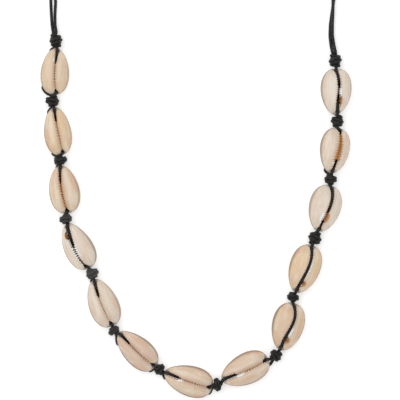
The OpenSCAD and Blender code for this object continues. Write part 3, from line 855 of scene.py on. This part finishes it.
def table_top(settings):
    """Matt white paper with a barely seen tooth."""
    f = Finish("white paper")
    place = f.node("ShaderNodeTexCoord")["Object"]
    grain = f.node("ShaderNodeTexNoise", {"Vector": place, "Scale": 900.0, "Detail": 3.0})["Fac"]
    color = f.mix(f.ranged(grain, 0.3, 0.7, 0.0, 0.02), linear(settings.floor_color), grey(0.8))
    f.feed(Base_Color=color, Roughness=0.9, IOR=1.4, Emission_Color=WHITE_LIGHT,
           Emission_Strength=settings.table_glow)
    return f.material


def loose_overhand(turns, cord_d):
    """A loose double overhand knot along x: through its own coil, back round it, and through it again."""
    half, radius, core = 2.2 * cord_d, 2.8 * cord_d, 0.75 * cord_d
    k = np.linspace(0, 1, 120)
    angle = pi / 2 + 2 * pi * turns * k
    coil = np.stack([half - 2 * half * k, radius * np.cos(angle), radius * np.sin(angle)], axis=1)
    way_in = [[-3 * half, core, 0], [0, core, 0], [half + cord_d, core, 0]]
    way_out = [[-half - cord_d, -core, 0], [0, -core, 0], [3 * half, -core, 0]]
    line = spaced(np.concatenate([way_in, coil, way_out]), 300)
    for _ in range(60):
        line[1:-1] = line[1:-1] / 2 + (line[:-2] + line[2:]) / 4
    return line


def tighten_overhand(cord_d, pull, turns, points=150, rounds=500):
    """Ties a doubled double overhand knot by pulling the four ends of two strands out until they bind.

    The result holds the points of both strands, from their left ends to their right ends.
    """
    start_x = TIE_START * cord_d
    line = loose_overhand(turns, cord_d)
    line = spaced(np.concatenate([[[-start_x, 0, 0]], line, [[start_x, 0, 0]]]), points)
    rest = travelled(line)[-1] / (points - 1)
    aside = carried_normals(line, np.array([0, 0, 1.0]))
    p = np.concatenate([line + aside * cord_d * TIE_APART, line - aside * cord_d * TIE_APART])

    first, second = np.triu_indices(2 * points, 1)
    far = (first // points != second // points) | (second - first >= int(np.ceil(cord_d * TIE_SKIP / rest)))
    first, second = first[far], second[far]
    links = np.array([k for k in range(2 * points - 1) if k % points != points - 1])
    ends = np.array([0, points - 1, points, 2 * points - 1])
    end_way = np.array([-1, 1, -1, 1])
    end_height = np.array([1, 1, -1, -1]) * cord_d / 2
    for r in range(rounds):
        x = start_x + pull * min(1.0, r / (rounds * TIE_PULLING))
        if r % TIE_SEARCH == 0:
            near = ((p[second] - p[first]) ** 2).sum(axis=1) < (cord_d * TIE_WATCH) ** 2
            touch_a, touch_b = first[near], second[near]
        strands = p.reshape(2, points, 3)
        strands[:, 1:-1] += ((strands[:, :-2] + strands[:, 2:]) / 2 - strands[:, 1:-1]) * TIE_EASING
        for _ in range(TIE_MENDS):
            p[ends] = np.stack([end_way * x, np.zeros(4), end_height], axis=1)
            for chain in (links[links % 2 == 0], links[links % 2 == 1]):
                gap = p[chain + 1] - p[chain]
                length = np.linalg.norm(gap, axis=1, keepdims=True)
                move = gap * (length - rest) / length / 2
                p[chain] += move
                p[chain + 1] -= move
            gap = p[touch_b] - p[touch_a]
            length = np.linalg.norm(gap, axis=1)
            hit = length < cord_d
            length = length[hit, None]
            move = gap[hit] / np.maximum(length, 1e-6) * (cord_d - length) / 4
            np.add.at(p, touch_a[hit], -move)
            np.add.at(p, touch_b[hit], move)
    return p.reshape(2, points, 3)


def carried_normals(line, first):
    """One normal carried along a line without turning round it."""
    along = unit(np.gradient(line, axis=0))
    normals = np.empty_like(line)
    normal = first
    for k, way in enumerate(along):
        normal = normal - way * np.dot(normal, way)
        normal = normal / np.linalg.norm(normal)
        normals[k] = normal
    return normals


def shell_tip(shell, end):
    return table_place(shell, np.array([0, end * shell.length / 2, 0]))[:2]


def knot_heading(k):
    if k in END_KNOTS:
        return END_KNOTS[k][1]
    return (SHELLS[k - 1].heading + SHELLS[k].heading) / 2


def knot_middle(k):
    if k in END_KNOTS:
        return np.array(END_KNOTS[k][0]) + LOOP_SHIFT
    between = (shell_tip(SHELLS[k - 1], 1) + shell_tip(SHELLS[k], -1)) / 2
    return between + rightward(knot_heading(k)) * KNOTS[k].aside


def port(k, way, x, z):
    """A point just off an end face of a knot, x to the right of the string."""
    heading = knot_heading(k)
    plan = (knot_middle(k) + forward(heading) * way * (KNOTS[k].length / 2 + CLEARANCE)
            + rightward(heading) * (x - KNOTS[k].aside * PORT_BACK))
    return np.array([*plan, z])


class Lanes:
    """Heights at which the cords run, worked out from the cord's radius."""

    def __init__(self, cord_r):
        self.cord_r = cord_r
        self.lane = cord_r + CLEARANCE
        self.canal_z = base_height(1) - CANAL_DEPTH + self.lane + CANAL_RIDE
        self.slit_z = MARGIN_H + SLIT_RIDE
        self.table_z = cord_r
        self.gate_h = self.lane + cord_r + GATE_CLEAR

    def front_z(self, shell, s):
        ride = lerp(self.canal_z, self.slit_z, share((1 - abs(s)) / TIP_SLOPE) ** 1.3)
        sink = lerp(self.slit_z, HOLLOW_Z, share((s - shell.dive) / SINK_LENGTH))
        rise = lerp(HOLLOW_Z, self.slit_z, share((s - shell.rise) / RISE_LENGTH))
        return min(ride, max(sink, rise))


def front_strand(i, lanes):
    shell = SHELLS[i]
    inside = [[slit_line(shell, s), shell.length / 2 * s, lanes.front_z(shell, s)]
              for s in np.linspace(-STRAND_REACH, STRAND_REACH, STRAND_RINGS + 1)]
    return [port(i, 1, 0, lanes.canal_z), *table_place(shell, np.array(inside)),
            port(i + 1, -1, 0, lanes.canal_z)]


def gate_route(shell, end, lanes):
    """From the knot round the tip, under the wall and into the hollow, in the shell's own frame."""
    gate = shell.gate_in if end < 0 else shell.gate_out
    step = 2 * pi / STEPS_ROUND
    points = []
    for k in range(2, abs(gate)):
        skirt_angle = np.sign(gate) * k * step if end < 0 else pi - np.sign(gate) * k * step
        skirt = margin_line(shell, np.array(skirt_angle))
        points.append([*(skirt + unit(skirt) * SKIRT_OUT), lanes.table_z + SKIRT_LIFT])
    angle = gate_angle(shell, end)
    margin = margin_line(shell, np.array(angle))
    margin_z = base_height(-cos(angle)) + lean(shell, margin[0]) - float(canal(shell, np.array(angle)))
    rim = margin * tuck(-cos(angle), margin_z - lanes.gate_h)
    out = unit(margin)
    points.append([*(margin + out * (TIP_IN if gate == 0 else SKIRT_OUT)), lanes.table_z + SKIRT_LIFT])
    points.append([*(rim - out * WALL / 2), lanes.table_z])
    points.append([*(rim - out * (WALL + GATE_INSIDE)), lanes.table_z])
    return points


def back_strand(i, lanes):
    shell = SHELLS[i]
    inside = gate_route(shell, -1, lanes) + gate_route(shell, 1, lanes)[::-1]
    return [port(i, 1, PORT_SIDE * np.sign(shell.gate_in), BACK_PORT_Z),
            *table_place(shell, np.array(inside)),
            port(i + 1, -1, PORT_SIDE * np.sign(shell.gate_out), BACK_PORT_Z)]


def neck_route(neck, k, way, side, lanes):
    """One cord of a neck, from its knot up to the closing knot. side is 1 for the front cord."""
    rows = np.array(neck, dtype=float)
    along = unit(np.gradient(rows[:, :2], axis=0))
    points = [port(k, way, way * side * PAIR_HALF, PAIR_PORT_Z)]
    for (x, y, spread, lift, hump), (ax, ay) in zip(rows, along):
        across = np.array([ay, -ax]) * side * spread / 2
        height = lanes.table_z + lift + (hump if side > 0 else 0)
        points.append(np.array([*(np.array([x, y]) + LOOP_SHIFT + across), height]))
    end = np.sign(rows[-1, 0] - CLOSING_KNOT[0])
    offset = [end * (CLOSING_LENGTH / 2 - CLOSING_DEPTH), side * rows[-1, 2] / 2 * end]
    plan = np.array(CLOSING_KNOT) + LOOP_SHIFT + offset
    points.append(np.array([*plan, CLOSING_WIDTH / 2 - 0.5 * side * end]))
    return points


def tied_strand(k, strand, tied, lanes):
    """The part of a cord inside knot k, from one end face to the other."""
    knot = KNOTS[k]
    body = tied[np.hypot(tied[..., 1], tied[..., 2]) > BUNDLE_CORE]
    body = body[np.abs(body[:, 0]) < BUNDLE_HALF]
    low, high = body.min(axis=0), body.max(axis=0)
    half = (high[0] - low[0]) / 2
    wide = (knot.width + KNOT_FULLNESS - lanes.cord_r * 2) / max(high[1] - low[1], high[2] - low[2])
    line = (tied[strand] - (low + high) / 2) * [1 / half, wide * knot.hand, wide]
    first, last = np.flatnonzero(np.abs(line[:, 0]) <= BUNDLE_END)[[0, -1]]
    x, y, z = line[first:last + 1].T
    roll = radians(knot.turn)
    y, z = y * cos(roll) - z * sin(roll), y * sin(roll) + z * cos(roll) + knot.width / 2
    z = np.maximum(z, lanes.cord_r * (1 + KNOT_SWELL))  # the lowest turns rest on the table
    overhang = KNOT_OVERHANG * ease((z - OVERHANG_FROM) / OVERHANG_RISE)
    x = x * np.minimum(knot.length / 2 - lanes.cord_r * 0.9 + overhang, half)
    heading = knot_heading(k)
    plan = knot_middle(k) + x[:, None] * forward(heading) + y[:, None] * rightward(heading)
    return np.column_stack([plan, z])


def cord_route(side, tied, lanes):
    """A whole cord, with the owner of each point: the number of a knot, or one of the stretches between."""
    strand = front_strand if side > 0 else back_strand
    parts = [(neck_route(LEFT_NECK, 0, -1, side, lanes)[::-1], ON_LEFT_NECK)]
    for k in range(len(KNOTS)):
        parts.append((tied_strand(k, 0 if side > 0 else 1, tied[k % len(tied)], lanes), k))
        if k < len(SHELLS):
            parts.append((strand(k, lanes), ON_SHELLS))
    parts.append((neck_route(RIGHT_NECK, len(SHELLS), 1, side, lanes), ON_RIGHT_NECK))
    points = np.concatenate([np.array(part) for part, _ in parts])
    owners = np.concatenate([np.full(len(part), owner) for part, owner in parts])
    return points, owners


def eased_route(points, owners):
    """Evenly spaced points with rounded bends."""
    numbered = np.column_stack([points, np.arange(len(points))])
    numbered = spaced(numbered, int(travelled(points)[-1] / CORD_STEP))
    line, owners = numbered[:, :3], owners[np.round(numbered[:, 3]).astype(int)]
    give = np.where(owners < 0, 1.0, KNOT_GIVE)[1:-1, None]
    for _ in range(EASING_ROUNDS):
        line[1:-1] += give * ((line[:-2] + line[2:]) / 4 - line[1:-1] / 2)
    return line, owners


class CordSkin:
    """The twisted surface of a cord round its line: rings of points, their furrows, which are painted as
    shade, and their grain.
    """

    def __init__(self, line, settings, phase, swelling=0.0):
        self.count = len(line)
        along = unit(np.gradient(line, axis=0))
        across = carried_normals(line, np.array([0.3, 0.2, 1.0]))
        up = np.cross(along, across)
        travel = travelled(line)[:, None]
        angle = np.arange(CORD_SIDES) * 2 * pi / CORD_SIDES
        turned = angle + 2 * pi * travel / (settings.lay / MM) + phase
        bulge = np.abs(np.cos(settings.plies / 2 * angle))
        radius = settings.thickness / MM / 2 * (1 - settings.ply_depth * (1 - bulge ** 0.8))
        radius = radius * (1 + KNOT_SWELL * np.reshape(swelling, (-1, 1)))
        radial = across[:, None] * np.cos(turned)[..., None] + up[:, None] * np.sin(turned)[..., None]
        self.line = line
        self.rings = line[:, None] + radial * radius[..., None]
        self.furrow = np.broadcast_to((1 - bulge) ** 2, (self.count, CORD_SIDES))
        self.grain = np.stack(np.broadcast_arrays(travel, np.cos(angle) * GRAIN_RADIUS + phase,
                                                  np.sin(angle) * GRAIN_RADIUS), axis=-1)

    def runs(self, wanted):
        """The stretches of the cord where wanted is true, as pairs of first and last ring."""
        edges = np.flatnonzero(np.diff(np.concatenate([[0], wanted.astype(int), [0]])))
        return [(edges[k], min(edges[k + 1], self.count - 1)) for k in range(0, len(edges), 2)]

    def stretch(self, first, last, base):
        """Points, faces, furrows for the painted shade, and grain of one stretch, closed at both ends."""
        rings = slice(first, last + 1)
        points = np.concatenate([self.rings[rings].reshape(-1, 3), self.line[[first, last]]])
        here = base + np.arange(len(points) - 2).reshape(-1, CORD_SIDES)
        beside = np.roll(here, -1, axis=1)
        quads = np.stack([here[:-1], beside[:-1], beside[1:], here[1:]], axis=-1).reshape(-1, 4)
        start = base + len(points) - 2
        caps = [(start, *corners) for corners in zip(beside[0], here[0])]
        caps += [(start + 1, *corners) for corners in zip(here[-1], beside[-1])]
        furrow = np.concatenate([self.furrow[rings].ravel(), [0, 0]])
        grain = np.concatenate([self.grain[rings].reshape(-1, 3), self.grain[[first, last], 0]])
        return points, [*quads, *caps], furrow, grain


def make_cord_piece(name, runs, material):
    """One piece from stretches of cord skins."""
    parts = []
    base = 0
    for skin, first, last in runs:
        parts.append(skin.stretch(first, last, base))
        base += len(parts[-1][0])
    points, faces, furrows, grains = zip(*parts)
    piece = make_piece(name, np.concatenate(points), sum(faces, []), material)
    add_mask(piece, "furrow", np.concatenate(furrows))
    add_vectors(piece, "grain", np.concatenate(grains))
    return piece


_cords = {}


def whole_cords():
    """Both cords from end to end, with the knot that each ring lies in. They are worked out once."""
    if not _cords:
        settings = bpy.context.scene.necklace_cord
        lanes = Lanes(settings.thickness / MM / 2)
        pull = bpy.context.scene.necklace_knots.pull / MM
        tied = [tighten_overhand(lanes.cord_r * 2, pull, turns) for turns in KNOT_TURNS]
        for side in (1, -1):
            line, owners = eased_route(*cord_route(side, tied, lanes))
            in_knot = np.convolve((owners >= 0).astype(float), np.full(7, 1 / 7), mode="same")
            _cords[side] = (CordSkin(line, settings, 0.9 * side, share(in_knot * 2 - 1)), owners)
        _cords["material"] = waxed_cotton(settings)
    return _cords


def lay_cords(name, node, owner, sides=(1, -1)):
    """One piece for a node, from the stretches that one or both cords have for an owner."""
    cords = whole_cords()
    runs = [(cords[side][0], *run) for side in sides for run in cords[side][0].runs(cords[side][1] == owner)]
    piece = make_cord_piece(name, runs, cords["material"])
    hand_over(piece, "cord", node)
    return piece


class NECKLACE_OT_shells(bpy.types.Operator):
    """Shape and glaze the thirteen cowries."""

    bl_idname = "necklace.shells"
    bl_label = "Cowries"

    def execute(self, context):
        settings = context.scene.necklace_shells
        lanes = Lanes(context.scene.necklace_cord.thickness / MM / 2)
        glaze = cowrie_glaze(settings)
        for i, (shell, look) in enumerate(zip(SHELLS, LOOKS)):
            grid, masks, tint = shape_shell(shell, look, i + 1.0, settings, lanes.lane)
            piece = make_piece(f"cowrie_{i + 1:02d}", table_place(shell, grid).reshape(-1, 3),
                               band_faces(*grid.shape[:2]), glaze)
            for name, values in masks.items():
                add_mask(piece, name, values)
            add_vectors(piece, "grain", grid + [31.0 * i, 17.0 * i, 0])
            add_vectors(piece, "tint", np.broadcast_to(tint, grid.shape))
            hand_over(piece, "shell", f"shell_{i + 1:02d}")
        return {"FINISHED"}


class NECKLACE_OT_slit_cord(bpy.types.Operator):
    """Lay the cord that runs through the slits."""

    bl_idname = "necklace.slit_cord"
    bl_label = "Slit cord"

    def execute(self, context):
        lay_cords("waxed_slit_cord", "slit_cord", ON_SHELLS, sides=(1,))
        return {"FINISHED"}


class NECKLACE_OT_back_cord(bpy.types.Operator):
    """Lay the cord that runs behind the shells."""

    bl_idname = "necklace.back_cord"
    bl_label = "Back cord"

    def execute(self, context):
        lay_cords("waxed_back_cord", "back_cord", ON_SHELLS, sides=(-1,))
        return {"FINISHED"}


class NECKLACE_OT_neck_cords(bpy.types.Operator):
    """Lead both cords up each side of the neck."""

    bl_idname = "necklace.neck_cords"
    bl_label = "Neck cords"

    def execute(self, context):
        lay_cords("left_neck_cords", "left_neck", ON_LEFT_NECK)
        lay_cords("right_neck_cords", "right_neck", ON_RIGHT_NECK)
        return {"FINISHED"}


class NECKLACE_OT_knots(bpy.types.Operator):
    """Tie the doubled overhand knots before, between and after the shells."""

    bl_idname = "necklace.knots"
    bl_label = "Overhand knots"

    def execute(self, context):
        for k, knot in enumerate(KNOTS):
            piece = lay_cords(f"overhand_knot_{k + 1:02d}", f"knot_{k + 1:02d}", k)
            # A knot's grey, partly old wax and partly painted sheen.
            add_mask(piece, "wax", np.full(len(piece.data.vertices), knot.wax))
        return {"FINISHED"}


class NECKLACE_OT_closing_knot(bpy.types.Operator):
    """Wind the barrel knot that closes the loop."""

    bl_idname = "necklace.closing_knot"
    bl_label = "Closing knot"

    def execute(self, context):
        settings = context.scene.necklace_cord
        cord_r = settings.thickness / MM / 2
        turns = context.scene.necklace_knots.closing_turns
        middle = np.array([*(np.array(CLOSING_KNOT) + LOOP_SHIFT), CLOSING_WIDTH / 2])
        k = np.linspace(-CLOSING_TUCK, turns + CLOSING_TUCK, turns * COIL_CUTS)
        tucked = np.minimum(k + CLOSING_TUCK, turns + CLOSING_TUCK - k) / TUCK_TURNS
        radius = lerp(TUCKED_RADIUS, CLOSING_WIDTH / 2 - cord_r, ease(tucked))
        x = (share(k / turns) - 0.5) * (CLOSING_LENGTH - 2 * cord_r)
        lines = [np.stack([x, radius * np.cos(2 * pi * k), radius * np.sin(2 * pi * k)], axis=1)]
        half = CLOSING_LENGTH / 2 - BUNDLE_INSET
        for angle in pi / 4 + np.arange(4) * pi / 2:
            y, z = BUNDLE_RADIUS * cos(angle), BUNDLE_RADIUS * sin(angle)
            lines.append(np.array([[-half, y, z], [half, y, z]]))
        runs = []
        for number, line in enumerate(lines):
            line = spaced(line, int(travelled(line)[-1] / CORD_STEP))
            skin = CordSkin(line + middle, settings, float(number))
            runs.append((skin, 0, skin.count - 1))
        material = whole_cords()["material"]
        hand_over(make_cord_piece("barrel_knot", runs, material), "cord", "closing_knot")
        return {"FINISHED"}


class NECKLACE_OT_stage(bpy.types.Operator):
    """Lay the white table, hang the softbox and set the camera straight above."""

    bl_idname = "necklace.stage"
    bl_label = "Table, light and camera"

    def execute(self, context):
        settings = context.scene.necklace_stage
        scene = context.scene
        corners = [(x * TABLE_REACH, y * TABLE_REACH, 0) for x, y in ((-1, -1), (1, -1), (1, 1), (-1, 1))]
        make_piece("table_top", corners, [(0, 1, 2, 3)], table_top(settings))
        hang_softbox(settings.softbox_power)
        world = bpy.data.worlds.new("even sky")
        world.use_nodes = True
        sky = world.node_tree.nodes["Background"]
        sky.inputs["Color"].default_value = WHITE_LIGHT
        sky.inputs["Strength"].default_value = settings.sky
        scene.world = world
        scene.view_settings.view_transform = "Standard"
        lens = bpy.data.cameras.new("overhead_camera")
        lens.sensor_width = SENSOR_WIDTH
        lens.lens = lens.sensor_width * settings.camera_height / (VIEW_WIDTH * MM)
        lens.clip_start = 0.01
        lens.clip_end = 20.0
        camera = bpy.data.objects.new("overhead_camera", lens)
        camera.location = (*LOOP_SHIFT * MM, settings.camera_height + MARGIN_H * MM)
        scene.collection.objects.link(camera)
        scene.camera = camera
        return {"FINISHED"}


def hang_softbox(power):
    """Hangs the softbox over the table, aimed at the middle of the loop."""
    light = bpy.data.lights.new("softbox_above", "AREA")
    light.shape = "RECTANGLE"
    light.size, light.size_y = SOFTBOX_SIZE
    light.energy = power
    box = bpy.data.objects.new("softbox_above", light)
    box.location = SOFTBOX_PLACE
    box.rotation_mode = "QUATERNION"
    box.rotation_quaternion = (-Vector(SOFTBOX_PLACE)).to_track_quat("-Z", "Y")
    bpy.context.scene.collection.objects.link(box)


class NECKLACE_PT_sidebar(bpy.types.Panel):
    """Lists the pieces of the necklace and their settings."""

    bl_label = "Shell Necklace"
    bl_idname = "NECKLACE_PT_sidebar"
    bl_space_type = "VIEW_3D"
    bl_region_type = "UI"
    bl_category = "Necklace"

    def draw(self, context):
        for name, (group, *operators) in SIDEBAR.items():
            box = self.layout.box()
            for key in group.__annotations__:
                box.prop(getattr(context.scene, name), key)
            for operator in operators:
                box.operator(operator.bl_idname)


# For each settings group: its class and the operators that it is for.
SIDEBAR = {
    "necklace_shells": (ShellSettings, NECKLACE_OT_shells),
    "necklace_cord": (CordSettings, NECKLACE_OT_slit_cord, NECKLACE_OT_back_cord, NECKLACE_OT_neck_cords),
    "necklace_knots": (KnotSettings, NECKLACE_OT_knots, NECKLACE_OT_closing_knot),
    "necklace_stage": (StageSettings, NECKLACE_OT_stage),
}
OPERATORS = [operator for _, *operators in SIDEBAR.values() for operator in operators]


def register():
    for name, (group, *_) in SIDEBAR.items():
        bpy.utils.register_class(group)
        setattr(bpy.types.Scene, name, PointerProperty(type=group))
    for shown in (*OPERATORS, NECKLACE_PT_sidebar):
        bpy.utils.register_class(shown)


def unregister():
    for shown in (NECKLACE_PT_sidebar, *reversed(OPERATORS)):
        bpy.utils.unregister_class(shown)
    for name, (group, *_) in SIDEBAR.items():
        delattr(bpy.types.Scene, name)
        bpy.utils.unregister_class(group)


def main():
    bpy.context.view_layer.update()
    register()
    for operator in OPERATORS:
        group, call = operator.bl_idname.split(".")
        getattr(getattr(bpy.ops, group), call)()


if __name__ == "__main__":
    main()
